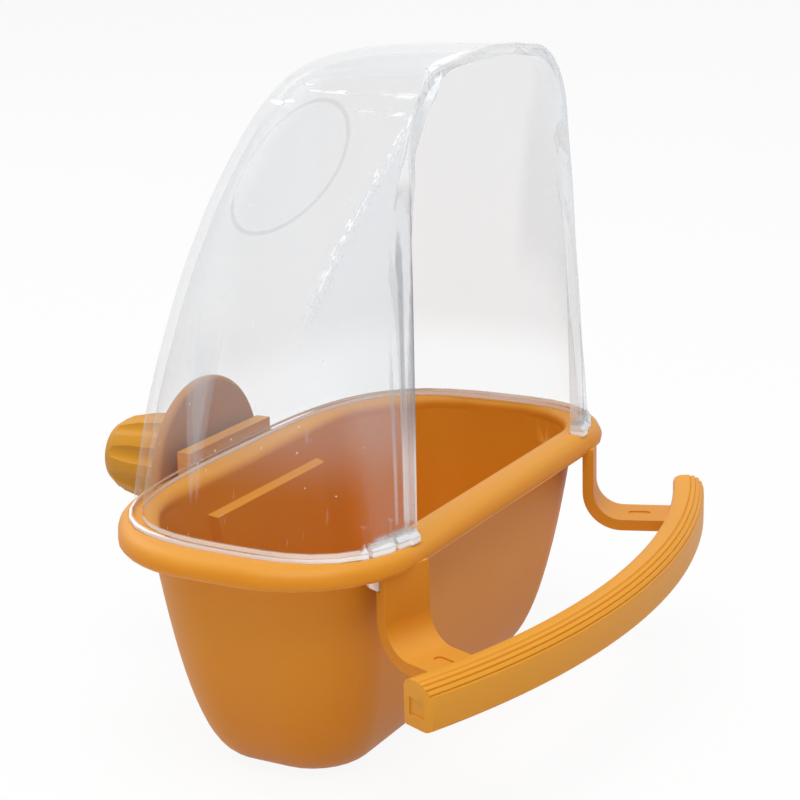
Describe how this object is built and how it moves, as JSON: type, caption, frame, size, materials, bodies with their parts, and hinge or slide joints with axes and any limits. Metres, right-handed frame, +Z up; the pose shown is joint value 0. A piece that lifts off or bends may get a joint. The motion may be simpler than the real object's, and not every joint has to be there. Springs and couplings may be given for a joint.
{
  "type": "bird cage feeder",
  "caption": "Hooded seed cup for a bird cage: moulded cup, clear hood with snap tabs, curved perch bar and a screw clamp for the cage wires.",
  "frame": {"origin": "on the ground under the middle of the cup", "axes": "+X to the right along the rim, +Y from the perch side to the cage side along the clamp screw, +Z up"},
  "size_m": [0.127, 0.1224, 0.1329],
  "materials": {
    "orange_plastic": "satin",
    "yellow_plastic": "satin",
    "brown_plastic": "satin",
    "clear_plastic": "gloss"
  },
  "bodies": {
    "cup": {"bowl": "orange_plastic", "perch": "yellow_plastic"},
    "hood_shell": {"hood": "clear_plastic"},
    "plate": {"clamp_plate": "brown_plastic"},
    "knob": {"clamp_knob": "brown_plastic"}
  },
  "joints": [
    {"name": "plate_travel", "type": "slide", "parent": "cup", "child": "plate", "axis": [0, 1, 0], "range_m": [-0.002, 0.008]},
    {"name": "knob_turn", "type": "hinge", "parent": "plate", "child": "knob", "pos_m": [0, 0.0399, 0.0443], "axis": [0, 1, 0], "range_deg": [-288, 1150]},
    {"name": "hood_lift", "type": "slide", "parent": "cup", "child": "hood_shell", "axis": [0, 0, 1], "range_m": [0, 0.03]}
  ],
  "couplings": [
    {"joint": "plate_travel", "follows": "knob_turn", "m_per_rad": 0.00039789}
  ]
}
